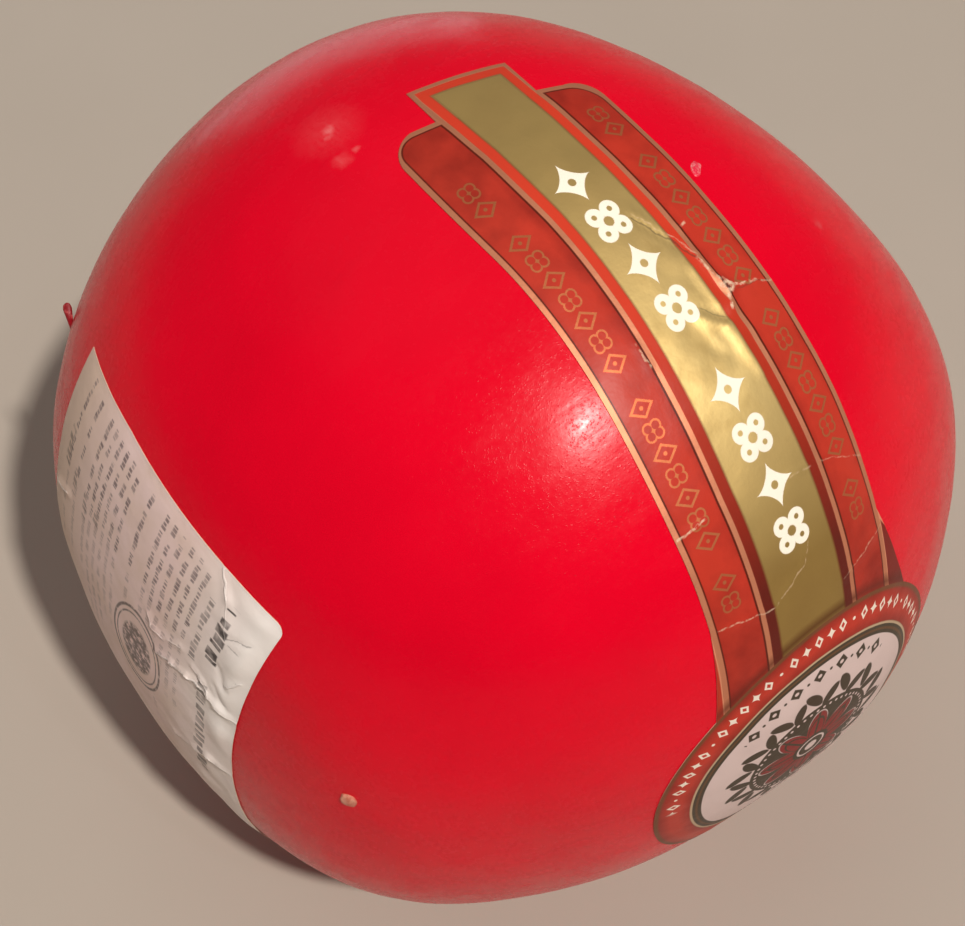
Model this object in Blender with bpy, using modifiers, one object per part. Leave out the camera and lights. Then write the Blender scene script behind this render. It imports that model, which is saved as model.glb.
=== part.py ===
"""Ball of cheese in red wax, lying on its rounded side, with two paper labels.

Metres, +Z up, standing on z = 0. The medallion of the ribbon label faces -Y, and its
arm climbs the front and crosses the top. The flat ends of the cheese face -X and +X,
and the ingredients label is stuck on the -X end.
"""

import math

import bmesh
import bpy
from mathutils import Vector

MM = 0.001

# Ball of cheese. Lengths in the next three blocks are shares of its radius.
BALL_RADIUS = 73 * MM
SEMI_AXES = (1.012, 0.971, 1.0)
# Sides pressed flat against the mould and the shelf: which way each faces, how far
# its flat lies from the middle, and how sharply it meets the round.
PRESSED_SIDES = (
    (Vector((1.0, 0.15, 0.41)), 0.945, 8.0),
    (Vector((-1.0, 0.01, 0.08)), 0.98, 8.5),
    (Vector((-0.47, -1.0, -0.085)), 1.011, 8.0),
)
# Broad swells: where each lies, how high it is, and how closely it is gathered.
SWELLS = (
    (Vector((0.675, -0.17, 0.04)), 0.025, 6.0),
    (Vector((0.0, 0.48, 0.64)), 0.036, 6.0),
)
REST_CUT = 1.0 * MM  # the soft cheese sits down this far on its own weight
BALL_SUBDIVISIONS = 5

# Paper, shared by both labels
PAPER_GAP = 0.3 * MM
PAPER_THICKNESS = 0.4 * MM
PAPER_SLICE = 5 * MM  # the sheet bends once in each slice
ARC_STEP = math.radians(7.5)

# Ribbon label: lengths along the arm are measured from the medallion's middle
MEDALLION_RADIUS = 32.0 * MM
ARM_HALF_WIDTH = 16.2 * MM
ARM_OFFSET = -0.9 * MM
ARM_END = 124.0 * MM
ARM_CORNER = 4.5 * MM
STRIP_HALF_WIDTH = 7.2 * MM
STRIP_END = 131.6 * MM
END_SKEW = -0.26  # the arm is cut off at a slant: rise along it for each unit across
PENNANT_START = 43.0 * MM
PENNANT_ANGLE = math.radians(43)
RIBBON_TURN = math.radians(-1.7)
RIBBON_LIFT = math.radians(1.0)
RIBBON_LEAN = math.radians(5.2)
DRIFT_START = 106.0 * MM
DRIFT = 2.3 * MM  # the arm's loose end veers this far sideways

# Ingredients label, a sheet stuck on the -X end with its long side upright
SHEET_WIDTH = 58.5 * MM
SHEET_HEIGHT = 84.0 * MM
SHEET_CENTRE = Vector((-15.2 * MM, 6.1 * MM))  # forward and up from the end's middle
SHEET_TURN = math.radians(-5.3)
SHEET_CORNER = 2.5 * MM

# Colour, roughness
WAX = ((0.74, 0.004, 0.018), 0.3)
RIBBON_PAPER = ((0.32, 0.05, 0.035), 0.4)
SHEET_PAPER = ((0.62, 0.53, 0.51), 0.6)


def reach(direction):
    """How far the skin of the ball lies from its middle, in a unit direction."""
    length = sum((part / axis) ** 2 for part, axis in zip(direction, SEMI_AXES)) ** -0.5
    for facing, distance, sharpness in PRESSED_SIDES:
        toward = max(direction.dot(facing.normalized()), 0.001)
        length = (length**-sharpness + (toward / distance) ** sharpness) ** (-1 / sharpness)
    for place, height, gathering in SWELLS:
        length *= 1 + height * math.exp(gathering * (direction.dot(place.normalized()) - 1))
    return BALL_RADIUS * length


def ribbon_axes():
    """The ways to the medallion, along the arm as it leaves it, and across the arm."""
    to_medallion = Vector((
        math.sin(RIBBON_TURN),
        -math.cos(RIBBON_TURN) * math.cos(RIBBON_LIFT),
        math.cos(RIBBON_TURN) * math.sin(RIBBON_LIFT),
    ))
    upward = (Vector((0, 0, 1)) - to_medallion * to_medallion.z).normalized()
    sideways = upward.cross(to_medallion)
    along = math.cos(RIBBON_LEAN) * upward + math.sin(RIBBON_LEAN) * sideways
    return to_medallion, along, along.cross(to_medallion)


def on_ribbon(distance, offset):
    """The unit direction of a point of the ribbon label laid on the ball.

    The distance is measured along the arm, and the offset across it.
    """
    to_medallion, along, across = ribbon_axes()
    veer = max((distance - DRIFT_START) / (STRIP_END - DRIFT_START), 0) ** 2 * DRIFT
    turn = distance / BALL_RADIUS
    tilt = (offset + veer) / BALL_RADIUS
    ahead = math.cos(turn) * to_medallion + math.sin(turn) * along
    return math.cos(tilt) * ahead + math.sin(tilt) * across


def on_end(forward, up):
    """The unit direction of a point of a sheet laid over the -X end.

    The point lies this far forward and up from the middle of the end.
    """
    spread = math.hypot(forward, up)
    if spread == 0:
        return Vector((-1, 0, 0))
    angle = spread / BALL_RADIUS
    outward = Vector((0, -forward, up)) / spread
    return math.cos(angle) * Vector((-1, 0, 0)) + math.sin(angle) * outward


def arc(centre, radius, start, end):
    """Points along an arc of a flat outline, both ends included."""
    steps = max(2, round(abs(end - start) / ARC_STEP))
    angles = (start + (end - start) * step / steps for step in range(steps + 1))
    return [
        (centre[0] + radius * math.cos(angle), centre[1] + radius * math.sin(angle))
        for angle in angles
    ]


def ribbon_outline():
    """Medallion, two pennants, the arm's three bands and the longer strip between them."""
    low, high = ARM_OFFSET - ARM_HALF_WIDTH, ARM_OFFSET + ARM_HALF_WIDTH
    strip_low, strip_high = ARM_OFFSET - STRIP_HALF_WIDTH, ARM_OFFSET + STRIP_HALF_WIDTH
    quarter = math.pi / 2

    def band_end(across):
        return ARM_END + END_SKEW * across

    def strip_end(across):
        return STRIP_END + END_SKEW * across

    def corner_middle(across):
        return (band_end(across) - ARM_CORNER, across)

    outline = arc((0, 0), MEDALLION_RADIUS, PENNANT_ANGLE, 2 * math.pi - PENNANT_ANGLE)
    outline.append((PENNANT_START, low))
    outline += arc(corner_middle(low + ARM_CORNER), ARM_CORNER, -quarter, 0)
    outline.append((band_end(strip_low), strip_low))
    outline.append((strip_end(strip_low), strip_low))
    outline.append((strip_end(strip_high), strip_high))
    outline.append((band_end(strip_high), strip_high))
    outline += arc(corner_middle(high - ARM_CORNER), ARM_CORNER, 0, quarter)
    outline.append((PENNANT_START, high))
    return outline


def sheet_outline():
    """A rectangle whose one upper corner is worn round, turned a little on the end."""
    half_width, half_height = SHEET_WIDTH / 2, SHEET_HEIGHT / 2
    worn = (half_width - SHEET_CORNER, half_height - SHEET_CORNER)
    corners = [(-half_width, half_height), (-half_width, -half_height), (half_width, -half_height)]
    corners += arc(worn, SHEET_CORNER, 0, math.pi / 2)
    cosine, sine = math.cos(SHEET_TURN), math.sin(SHEET_TURN)
    return [
        (
            SHEET_CENTRE.x + cosine * forward - sine * up,
            SHEET_CENTRE.y + sine * forward + cosine * up,
        )
        for forward, up in corners
    ]


def slice_sheet(mesh, axis):
    """Cuts the flat sheet across one axis at every slice, so that it can bend."""
    positions = [vertex.co[axis] for vertex in mesh.verts]
    first, last = min(positions), max(positions)
    count = math.ceil((last - first) / PAPER_SLICE)
    normal = Vector((0, 0, 0))
    normal[axis] = 1
    for number in range(1, count):
        place = Vector((0, 0, 0))
        place[axis] = first + (last - first) * number / count
        parts = mesh.verts[:] + mesh.edges[:] + mesh.faces[:]
        bmesh.ops.bisect_plane(mesh, geom=parts, plane_co=place, plane_no=normal, dist=1e-6)


def new_object(name, mesh, collection, finish):
    """An object made from a bmesh, with its own material."""
    data = bpy.data.meshes.new(name)
    mesh.to_mesh(data)
    mesh.free()
    colour, roughness = finish
    material = bpy.data.materials.new(name)
    material.use_nodes = True
    material.diffuse_color = (*colour, 1)
    surface = material.node_tree.nodes["Principled BSDF"]
    surface.inputs["Base Color"].default_value = (*colour, 1)
    surface.inputs["Roughness"].default_value = roughness
    surface.inputs["Metallic"].default_value = 0
    data.materials.append(material)
    made = bpy.data.objects.new(name, data)
    collection.objects.link(made)
    return made


def make_ball(collection):
    """The cheese: a round ball pressed to shape, with a small flat that it rests on."""
    mesh = bmesh.new()
    bmesh.ops.create_icosphere(mesh, subdivisions=BALL_SUBDIVISIONS, radius=1)
    for vertex in mesh.verts:
        direction = vertex.co.normalized()
        vertex.co = direction * reach(direction)
    bottom = min(vertex.co.z for vertex in mesh.verts) + REST_CUT
    parts = mesh.verts[:] + mesh.edges[:] + mesh.faces[:]
    cut = bmesh.ops.bisect_plane(
        mesh, geom=parts, plane_co=(0, 0, bottom), plane_no=(0, 0, -1), dist=1e-5, clear_outer=True
    )
    rim = [part for part in cut["geom_cut"] if isinstance(part, bmesh.types.BMEdge)]
    bmesh.ops.edgeloop_fill(mesh, edges=rim)
    bmesh.ops.recalc_face_normals(mesh, faces=mesh.faces[:])
    return new_object("cheese_ball", mesh, collection, WAX)


def make_label(name, outline, laid, collection, finish):
    """A paper label: its flat outline sliced, laid over the ball and given a thickness."""
    mesh = bmesh.new()
    corners = [mesh.verts.new((x, y, 0)) for x, y in outline]
    mesh.faces.new(corners)
    slice_sheet(mesh, 0)
    slice_sheet(mesh, 1)
    bmesh.ops.triangulate(mesh, faces=mesh.faces[:])
    for vertex in mesh.verts:
        direction = laid(vertex.co.x, vertex.co.y)
        vertex.co = direction * (reach(direction) + PAPER_GAP)
    bmesh.ops.recalc_face_normals(mesh, faces=mesh.faces[:])
    if sum(face.normal.dot(face.calc_center_median()) for face in mesh.faces) < 0:
        bmesh.ops.reverse_faces(mesh, faces=mesh.faces[:])
    label = new_object(name, mesh, collection, finish)
    thickness = label.modifiers.new("Paper", "SOLIDIFY")
    thickness.thickness = PAPER_THICKNESS
    thickness.offset = 1
    return label


def stand_on_origin(objects):
    """Moves everything together so that the middle of its base is at the origin."""
    bpy.context.view_layer.update()
    graph = bpy.context.evaluated_depsgraph_get()
    corners = [Vector(corner) for item in objects for corner in item.evaluated_get(graph).bound_box]
    low = Vector(map(min, zip(*corners)))
    high = Vector(map(max, zip(*corners)))
    base = Vector(((low.x + high.x) / 2, (low.y + high.y) / 2, low.z))
    for item in objects:
        item.location = -base


def main():
    for item in list(bpy.data.objects):
        bpy.data.objects.remove(item)
    collection = bpy.data.collections.new("Ball of cheese")
    bpy.context.scene.collection.children.link(collection)
    stand_on_origin([
        make_ball(collection),
        make_label("ribbon_label", ribbon_outline(), on_ribbon, collection, RIBBON_PAPER),
        make_label("ingredients_label", sheet_outline(), on_end, collection, SHEET_PAPER),
    ])


main()
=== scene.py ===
# %% [markdown]
# # A ball of cheese in red wax, with two paper labels
# The plain solid model gives the place and size of everything. This lesson dresses it: a
# wax coat, a printed ribbon-and-medallion label and a creased white label, then a floor,
# lights and a camera. Lengths are in metres, +Z is up, and the cheese lies on z = 0.

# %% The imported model, as a fixed frame
import math
from collections import Counter
from contextlib import contextmanager
from functools import reduce

import bpy
from mathutils import Matrix, Vector, noise
from mathutils.bvhtree import BVHTree
from mathutils.kdtree import KDTree


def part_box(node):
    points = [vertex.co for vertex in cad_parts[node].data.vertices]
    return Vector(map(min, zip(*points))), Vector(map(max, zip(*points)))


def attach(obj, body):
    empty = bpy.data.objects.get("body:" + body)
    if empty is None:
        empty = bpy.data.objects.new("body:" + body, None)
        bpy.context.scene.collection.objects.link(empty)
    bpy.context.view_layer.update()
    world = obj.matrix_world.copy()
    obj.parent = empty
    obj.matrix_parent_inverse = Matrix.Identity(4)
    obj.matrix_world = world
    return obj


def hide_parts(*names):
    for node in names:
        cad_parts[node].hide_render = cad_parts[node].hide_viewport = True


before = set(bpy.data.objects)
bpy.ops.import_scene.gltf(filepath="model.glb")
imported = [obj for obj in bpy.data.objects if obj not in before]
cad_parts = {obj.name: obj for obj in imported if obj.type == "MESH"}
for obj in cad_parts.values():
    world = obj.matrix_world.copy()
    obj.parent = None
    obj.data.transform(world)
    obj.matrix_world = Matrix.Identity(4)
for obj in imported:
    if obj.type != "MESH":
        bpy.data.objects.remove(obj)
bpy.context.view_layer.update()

# %% [markdown]
# Every point of a label is given by the direction in which it lies from the ball's middle,
# so the middle has to be known exactly. Its place in the ball's box comes with the design:
# it isn't quite half way, because the sides are pressed by different amounts.

# %% Sizes that everything shares
MM = 0.001
BALL_RADIUS = 73 * MM
MIDDLE_SHARES = (0.4858, 0.492, 0.4937)

ball_low, ball_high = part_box("cheese_ball")
middle = Vector(
    low + share * (high - low) for low, high, share in zip(ball_low, ball_high, MIDDLE_SHARES)
)
print("Middle of the ball:", [round(part / MM, 2) for part in middle], "mm")

# %% [markdown]
# Four small helpers do what a modeller does with the mouse: pick one piece, work on it in
# edit mode, add a modifier and apply it, and fix an object's place into its mesh. Two more
# smooth a change and tell how large a piece is.

# %% Helpers for working by hand
def pick_only(piece):
    """Selects one piece alone and makes it active."""
    bpy.ops.object.select_all(action="DESELECT")
    piece.select_set(True)
    bpy.context.view_layer.objects.active = piece


@contextmanager
def editing(piece):
    """Edit mode on one piece, with all of it selected."""
    pick_only(piece)
    bpy.ops.object.mode_set(mode="EDIT")
    bpy.ops.mesh.select_all(action="SELECT")
    yield
    bpy.ops.object.mode_set(mode="OBJECT")


def modify(piece, kind, **settings):
    """Adds a modifier with these settings and applies it."""
    pick_only(piece)
    modifier = piece.modifiers.new(kind, kind)
    for name, value in settings.items():
        setattr(modifier, name, value)
    bpy.ops.object.modifier_apply(modifier=modifier.name)


def settle(piece):
    """Moves the object's place into its mesh."""
    pick_only(piece)
    bpy.ops.object.transform_apply(location=True, rotation=True, scale=True)


def ease(value, start, end):
    """Goes smoothly from 0 to 1 while the value goes from start to end."""
    share = min(max((value - start) / (end - start), 0), 1)
    return share * share * (3 - 2 * share)


def tell(piece):
    """Prints how many faces a piece has and how large it is."""
    size = [round(part / MM, 1) for part in piece.dimensions]
    print(f"{piece.name}: {len(piece.data.polygons)} faces, {size} mm")


# %% [markdown]
# ## Shader sums as Python sums
# A pattern on paper is a sum: this is red where the distance from the middle line is more
# than 9 mm. A small class wraps a node's output, so that such a sum is written as it is
# said, and the Math nodes appear by themselves. Any other node comes from one method.

# %% A node's output as a value
class Value:
    """One output of a node. Python's operators on it add Math nodes."""

    def __init__(self, recipe, output):
        self.recipe = recipe
        self.output = output

    def math(self, operation, *others):
        sockets = dict(enumerate((self, *others)))
        return self.recipe.node("Math", {"operation": operation}, sockets)

    def __add__(self, other):
        return self.math("ADD", other)

    def __sub__(self, other):
        return self.math("SUBTRACT", other)

    def __rsub__(self, other):
        return self.recipe.node("Math", {"operation": "SUBTRACT"}, {0: other, 1: self})

    def __mul__(self, other):
        return self.math("MULTIPLY", other)

    def __truediv__(self, other):
        return self.math("DIVIDE", other)

    def __abs__(self):
        return self.math("ABSOLUTE")

    __radd__ = __add__
    __rmul__ = __mul__

    def over(self, limit, soft):
        """1 where this value is more than a number, 0 where less, with a soft edge."""
        sockets = {0: self, 1: 1 / soft, 2: 0.5 - limit / soft}
        return self.recipe.node("Math", {"operation": "MULTIPLY_ADD", "use_clamp": True}, sockets)

    def under(self, limit, soft):
        """1 where this value is less than a number, 0 where more, with a soft edge."""
        return self.over(limit, -soft)

    def between(self, low, high, soft):
        """1 where this value lies between two numbers, with soft edges."""
        return abs(self - (low + high) / 2).under((high - low) / 2, soft)


# %% A material, and the one method that adds a node
class Recipe:
    """A material in the making."""

    def __init__(self, name, **finish):
        self.material = bpy.data.materials.new(name)
        self.material.use_nodes = True
        self.tree = self.material.node_tree
        self.surface = self.tree.nodes["Principled BSDF"]
        for socket, value in finish.items():
            self.surface.inputs[socket.replace("_", " ")].default_value = value

    def node(self, kind, settings=None, sockets=None, output=0):
        """Adds a node: first its settings, then its sockets, each a number or a value."""
        made = self.tree.nodes.new("ShaderNode" + kind)
        for name, value in (settings or {}).items():
            setattr(made, name, value)
        for name, value in (sockets or {}).items():
            self.feed(made.inputs[name], value)
        return Value(self, made.outputs[output])

    def feed(self, socket, value):
        """Links a value to a socket, or sets the socket's own number or colour."""
        if isinstance(value, Value):
            self.tree.links.new(value.output, socket)
        else:
            socket.default_value = value

    def paint(self, under, colour, mask):
        """One colour laid over another where the mask is 1."""
        return self.node("Mix", {"data_type": "RGBA"}, {0: mask, 6: under, 7: colour}, output=2)

    def layers(self, colour, *inks):
        """Inks laid over a colour one after the other, each where its mask is 1."""
        for ink, mask in inks:
            colour = self.paint(colour, ink, mask)
        return colour

    def choose(self, first, second, mask):
        """The first value where the mask is 0, and the second where it is 1."""
        return self.node("Mix", {}, {0: mask, 2: first, 3: second})

    def vector(self, *parts):
        """Up to three values as one vector."""
        return self.node("CombineXYZ", {}, dict(enumerate(parts)))

    def object_places(self):
        """Where each point of the piece lies, in metres."""
        return self.node("TexCoord", output="Object")

    def grain(self, places, size, detail):
        """Soft noise between 0 and 1, with blotches of this size in the places' own length."""
        return self.node("TexNoise", {}, {"Vector": places, "Scale": 1 / size, "Detail": detail})

    def random(self, *numbers):
        """A steady random number for each set of up to three whole numbers."""
        sockets = {"Vector": self.vector(*numbers)}
        return self.node("TexWhiteNoise", {"noise_dimensions": "3D"}, sockets)

    def bump(self, height, distance, strength=1.0, normal=None):
        """Turns a height between 0 and 1 into relief of this depth in metres."""
        sockets = {"Height": height, "Distance": distance, "Strength": strength}
        if normal:
            sockets["Normal"] = normal
        return self.node("Bump", {}, sockets)

    def finish(self, **sockets):
        """Feeds the surface and gives the material."""
        for name, value in sockets.items():
            self.feed(self.surface.inputs[name.replace("_", " ")], value)
        return self.material


def larger(one, other):
    return one.math("MAXIMUM", other)


def smaller(one, other):
    return one.math("MINIMUM", other)


def length(one, other):
    return (one * one + other * other).math("SQRT")


def tint(red, green, blue):
    """A screen colour, 0 to 255, as the linear colour that a shader works with."""
    parts = (part / 255 for part in (red, green, blue))
    return (*(p / 12.92 if p < 0.04045 else ((p + 0.055) / 1.055) ** 2.4 for p in parts), 1)


# %% [markdown]
# ## The wax coat
# The cheese is dipped in red wax, which follows every pressed side and sets with a soft
# unevenness. A sphere primitive pinches at its poles. A cube that is cut into squares,
# cast to a ball, shrunk onto the solid and subdivided has even squares all over, so the
# gloss runs over it without a knot.

# %% A merged copy of the solid, to shrink onto
def merged_copy(node):
    """A copy of a node of the solid model, with its loose triangles joined."""
    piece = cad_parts[node].copy()
    piece.data = piece.data.copy()
    piece.parent = None
    bpy.context.scene.collection.objects.link(piece)
    with editing(piece):
        bpy.ops.mesh.remove_doubles(threshold=0.001 * MM)
    return piece


guide = merged_copy("cheese_ball")
tell(guide)

# %% From a cube to the ball
CUTS = 15
LEVELS = 3

bpy.ops.object.select_all(action="DESELECT")
bpy.ops.mesh.primitive_cube_add(size=2 * BALL_RADIUS, location=middle)
wax = bpy.context.object
wax.name = "wax_coat"
with editing(wax):
    bpy.ops.mesh.subdivide(number_cuts=CUTS)
modify(wax, "CAST", cast_type="SPHERE", factor=1)
settle(wax)
modify(wax, "SHRINKWRAP", target=guide, wrap_method="NEAREST_SURFACEPOINT")
modify(wax, "SUBSURF", levels=LEVELS, render_levels=LEVELS)
bpy.data.objects.remove(guide)
tell(wax)

# %% [markdown]
# Wax that was dipped and handled is never quite even. Two Displace modifiers give it
# broad, very shallow waves and finer ones, which bend the reflections a little.

# %% Soft unevenness of the wax
WAVES = (("broad", 34 * MM, 0.75 * MM), ("fine", 9 * MM, 0.16 * MM))

for name, size, height in WAVES:
    cloud = bpy.data.textures.new("wax_" + name, "CLOUDS")
    cloud.noise_scale = size
    cloud.noise_depth = 1
    modify(wax, "DISPLACE", texture=cloud, strength=height, mid_level=0.5, texture_coords="LOCAL")

# %% [markdown]
# Pressing and handling have left a few shallow hollows, and one place that stands out. Each
# vertex is pushed along its own way from the middle, by the full height at the middle of a
# spot and by less and less round it, so that a spot has no edge.

# %% Spots that are pressed in, and one that stands out
SPOTS = (  # the way to each spot, how far it stands out, and how closely it is gathered
    (Vector((-0.04, -0.943, -0.331)), -1.2 * MM, 34.0),
    (Vector((0.42, -0.87, 0.25)), -0.6 * MM, 40.0),
    (Vector((-0.86, -0.45, -0.25)), 0.8 * MM, 30.0),
)

for vertex in wax.data.vertices:
    way = (vertex.co - middle).normalized()
    for spot_way, height, gathering in SPOTS:
        near = way.dot(spot_way.normalized()) - 1
        vertex.co += way * height * math.exp(gathering * near)

# %% The rest spot, flat on the floor
REST_HEIGHT = 0.25 * MM

for vertex in wax.data.vertices:
    vertex.co.z = 0 if vertex.co.z < REST_HEIGHT else vertex.co.z
pick_only(wax)
bpy.ops.object.shade_smooth()
tell(wax)

wax_skin = BVHTree.FromObject(wax, bpy.context.evaluated_depsgraph_get())


def on_wax(way):
    """The point of the wax, and the way it faces, in one direction from the middle."""
    return wax_skin.ray_cast(middle, Vector(way).normalized())[:2]


# %% [markdown]
# The wax is deep red and nearly opaque, with a satin gloss. Close by, its skin has a fine
# grain that breaks a reflection into sparkles, and handling has left faint dull streaks
# and a few rubbed scuffs, painted pale as a glint where they catch the light. The grain
# goes into the bump and the roughness, the scuffs are measured from their places on the
# ball, and the colour varies only slightly.

# %% Red wax
WAX_RED = tint(234, 0, 37)
WAX_DEEP = tint(219, 0, 33)
# The pale colour below is a painted glint, laid on the rubbed scuffs where they catch the light.
SCUFF_GLINT_PALE = tint(250, 150, 150)
WAX_ROUGHNESS = 0.25
SCUFFS_WITH_GLINTS = (  # the way to each scuff, its size in millimetres and how plain it is
    ((-0.134, 0.332, 0.934), 3.4, 0.12),
    ((-0.136, 0.33, 0.934), 0.8, 0.6),
    ((-0.146, 0.315, 0.938), 0.5, 0.4),
    ((-0.172, 0.249, 0.953), 1.0, 0.22),
    ((-0.142, 0.246, 0.959), 0.4, 0.3),
    ((0.487, -0.375, 0.789), 0.6, 0.25),
)


def scuffed_with_glint(recipe, places):
    """A mask of small streaky patches where the wax has been rubbed rough, and where a pale glint
    is painted.
    """
    torn = recipe.grain(places, 1.3 * MM, 4)
    drawn_out = {"Vector": places, "Scale": (1, 0.25, 1), "Rotation": (0, 0, 0.7)}
    streaky = recipe.grain(recipe.node("Mapping", {}, drawn_out), 0.5 * MM, 3).over(0.48, 0.3)
    patches = []
    for way, size, strength in SCUFFS_WITH_GLINTS:
        sockets = {0: places, 1: on_wax(way)[0]}
        away = recipe.node("VectorMath", {"operation": "DISTANCE"}, sockets, output=1)
        ragged = away / MM + (torn - 0.5) * 2.0
        patches.append(ragged.under(size, size * 1.6) * strength)
    return reduce(larger, patches) * (0.55 + streaky * 0.45)


def red_wax():
    recipe = Recipe("Red wax", IOR=1.3, Specular_IOR_Level=0.35)
    places = recipe.object_places()
    cloudy = recipe.grain(places, 30 * MM, 3)
    speckle = recipe.grain(places, 0.85 * MM, 3)
    fine = recipe.grain(places, 0.3 * MM, 2)
    stretched = {"Vector": places, "Scale": (0.2, 1, 1), "Rotation": (0.3, 0.5, 0.9)}
    streaks = recipe.grain(recipe.node("Mapping", {}, stretched), 3.5 * MM, 4).over(0.6, 0.3)
    scuffs_and_glints = scuffed_with_glint(recipe, places)
    colour = recipe.paint(WAX_RED, WAX_DEEP, cloudy.over(0.5, 0.5))
    # Painted glint: the scuffs are painted pale, where the wax catches the light.
    colour = recipe.paint(colour, SCUFF_GLINT_PALE, scuffs_and_glints)
    rough = WAX_ROUGHNESS + (speckle - 0.5) * 0.16 + streaks * 0.08 + scuffs_and_glints * 0.25
    pits = fine.over(0.62, 0.14) * speckle.over(0.5, 0.2)
    pores = recipe.bump(pits, 0.011 * MM)
    skin = recipe.bump(speckle, 0.013 * MM, normal=pores)
    skin = recipe.bump(streaks, 0.02 * MM, normal=skin)
    return recipe.finish(Base_Color=colour, Roughness=rough, Normal=skin)


wax.data.materials.append(red_wax())
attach(wax, "root")
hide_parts("cheese_ball")
print("Wax coat dressed")

# %% [markdown]
# ## Small marks on the wax
# A torn flap of wax stands up near the back edge, a chip is raised beside the ribbon and a
# crumb clings to the front. They're a few millimetres long, and each catches the light and
# shows against the smooth red, so each is a small lump of its own: a cube that is cut up,
# shaken out of its regular form, rounded, and set on the wax.

# %% Setting a small piece on the wax
def stick_on(piece, way, along, sink, facing=None):
    """Sets a piece on the wax in one direction: its Z outward, its X along, sunk in a little."""
    spot, normal = on_wax(way)
    outward = Vector(facing or normal).normalized()
    side = outward.cross(Vector(along)).normalized()
    turned = Matrix((side.cross(outward), side, outward)).transposed().to_4x4()
    piece.matrix_world = Matrix.Translation(spot - normal * sink) @ turned
    settle(piece)
    with editing(piece):
        bpy.ops.mesh.normals_make_consistent(inside=False)
    pick_only(piece)
    bpy.ops.object.shade_smooth()


def lump(name, size, shake, seed):
    """A small uneven lump of this size, its foot at the origin."""
    bpy.ops.object.select_all(action="DESELECT")
    bpy.ops.mesh.primitive_cube_add(size=1)
    piece = bpy.context.object
    piece.name = name
    with editing(piece):
        bpy.ops.mesh.subdivide(number_cuts=3)
    modify(piece, "CAST", cast_type="SPHERE", factor=0.7)
    with editing(piece):
        bpy.ops.transform.vertex_random(offset=shake, uniform=0.6, normal=0.4, seed=seed)
        bpy.ops.transform.resize(value=[part * MM for part in size], center_override=(0, 0, 0))
    modify(piece, "SUBSURF", levels=2, render_levels=2)
    return piece


# %% Wax that is bruised pale
def bruised(name, body, pale, shift):
    """Broken wax, with paler places where it was stretched."""
    recipe = Recipe(name, Specular_IOR_Level=0.4)
    places = recipe.object_places()
    blotches = recipe.grain(places, 0.9 * MM, 3)
    flecks = recipe.grain(places, 0.25 * MM, 3)
    colour = recipe.paint(body, pale, (blotches + (flecks - 0.5) * 0.5 + shift).over(0.5, 0.3))
    rough = 0.5 + (flecks - 0.5) * 0.3
    return recipe.finish(Base_Color=colour, Roughness=rough, Normal=recipe.bump(flecks, 0.04 * MM))


# %% The torn flap, the chip and the crumb
FLAP_FOOT = (-0.586, 0.7213, 0.3693)
FLAP_RISE = (0.594, 0.605, 0.53)
FLAP_FACE = (0.713, -0.701, 0.0)
FLAP_SPAN = (-0.5, 3.6)  # millimetres, from where it starts to bend up to its tip
FLAP_BEND = 0.75 * MM

flap = lump("wax_flap", (1.2, 0.6, 3.8), 0.09, 3)
with editing(flap):
    bpy.ops.transform.translate(value=(0, 0, 1.6 * MM))
for vertex in flap.data.vertices:
    rise = ease(vertex.co.z / MM, *FLAP_SPAN)
    vertex.co.x = vertex.co.x * (0.45 + 0.65 * rise) - FLAP_BEND * rise
    vertex.co.y *= 0.6 + 0.5 * rise
stick_on(flap, FLAP_FOOT, FLAP_FACE, 0.1 * MM, facing=FLAP_RISE)
flap.data.materials.append(bruised("Torn wax", tint(134, 14, 24), tint(206, 100, 98), -0.2))

chip = lump("wax_chip", (2.5, 1.4, 0.5), 0.12, 5)
stick_on(chip, (0.311, -0.192, 0.931), (0.8, 0.55, 0.2), 0.05 * MM)
chip.data.materials.append(bruised("Chipped wax", tint(232, 40, 70), tint(246, 160, 160), -0.05))

crumb = lump("pale_crumb", (2.3, 2.0, 1.3), 0.12, 8)
stick_on(crumb, (-0.865, -0.455, 0.212), (0, 0, 1), 0.1 * MM)
crumb.data.materials.append(bruised("Crumb", tint(186, 96, 76), tint(222, 158, 132), 0.0))

for piece in (flap, chip, crumb):
    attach(piece, "root")
    tell(piece)

# %% [markdown]
# ## Paper on a ball
# Both labels are flat sheets that were printed, cut and pressed on. They're made the same
# way here: an outline is drawn flat and filled, sliced into small squares so that it can
# bend, given a map that remembers the flat sheet in millimetres, and then each point is
# sent from the ball's middle out to the wax. The print stays on the sheet where it was.

# %% A flat sheet from its outline
PAPER_STEP = 0.6 * MM
MAP_SPAN = 200.0  # millimetres of sheet for the whole width of the map
MAP_START = -50.0  # where on the sheet the map begins, both ways


def cut_paper(name, outline):
    """A flat sheet in the outline's shape, as one face."""
    curve = bpy.data.curves.new(name, "CURVE")
    curve.dimensions = "2D"
    curve.fill_mode = "NONE"
    line = curve.splines.new("POLY")
    line.points.add(len(outline) - 1)
    for point, (x, y) in zip(line.points, outline):
        point.co = (x, y, 0, 1)
    line.use_cyclic_u = True
    sheet = bpy.data.objects.new(name, curve)
    bpy.context.scene.collection.objects.link(sheet)
    pick_only(sheet)
    bpy.ops.object.convert(target="MESH")
    with editing(sheet):
        bpy.ops.mesh.edge_face_add()
    return sheet


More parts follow.
